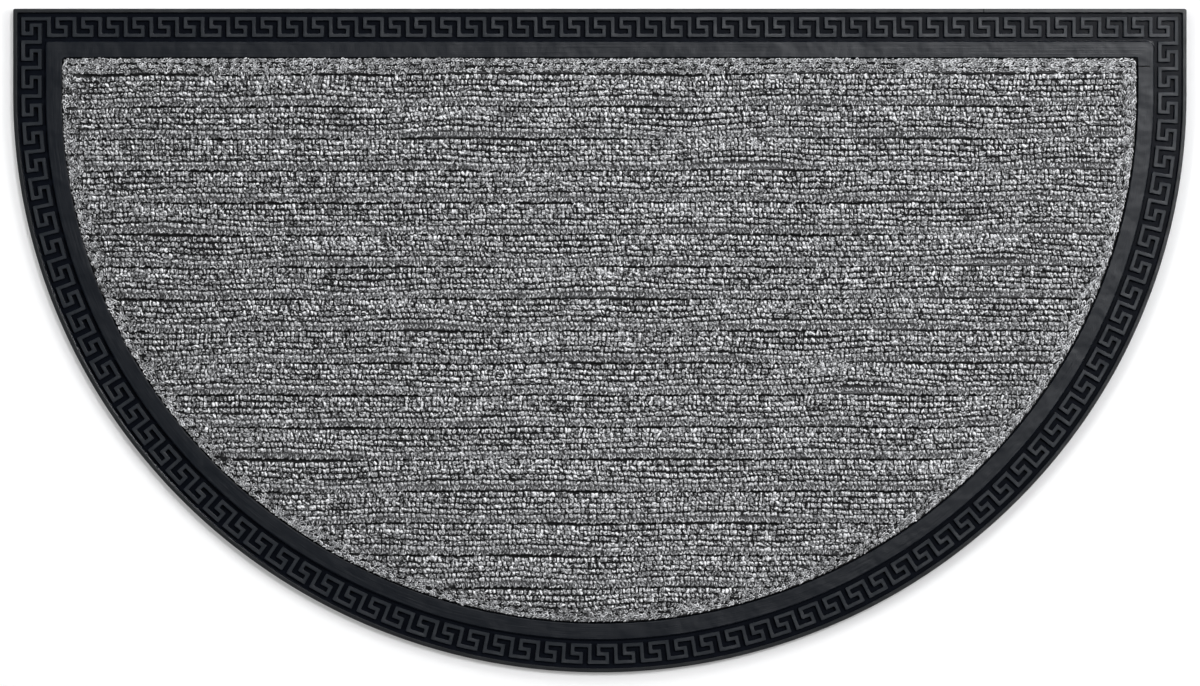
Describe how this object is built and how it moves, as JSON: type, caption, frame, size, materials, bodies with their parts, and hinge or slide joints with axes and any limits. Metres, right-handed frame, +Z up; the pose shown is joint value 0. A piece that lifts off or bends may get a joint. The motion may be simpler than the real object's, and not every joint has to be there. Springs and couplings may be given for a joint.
{
  "type": "half-moon rubber doormat with carpet inlay",
  "caption": "Half-moon doormat: a black moulded rubber base with a raised key border and a ribbed grey loop-pile carpet inlay to wipe shoes on.",
  "frame": {"origin": "on the floor, under the middle of the mat's bounding box", "axes": "+Z up, +Y towards the long straight edge, X along that edge; the round edge reaches towards -Y"},
  "size_m": [0.7, 0.397, 0.008],
  "materials": {
    "rubber": "black moulded rubber, semi-matte, with a fine mould texture",
    "carpet": "heather loop pile of light grey, mid grey and black yarn, pressed into ribs"
  },
  "bodies": {
    "root": {"rubber_base": "rubber", "carpet_inlay": "carpet"}
  },
  "joints": []
}
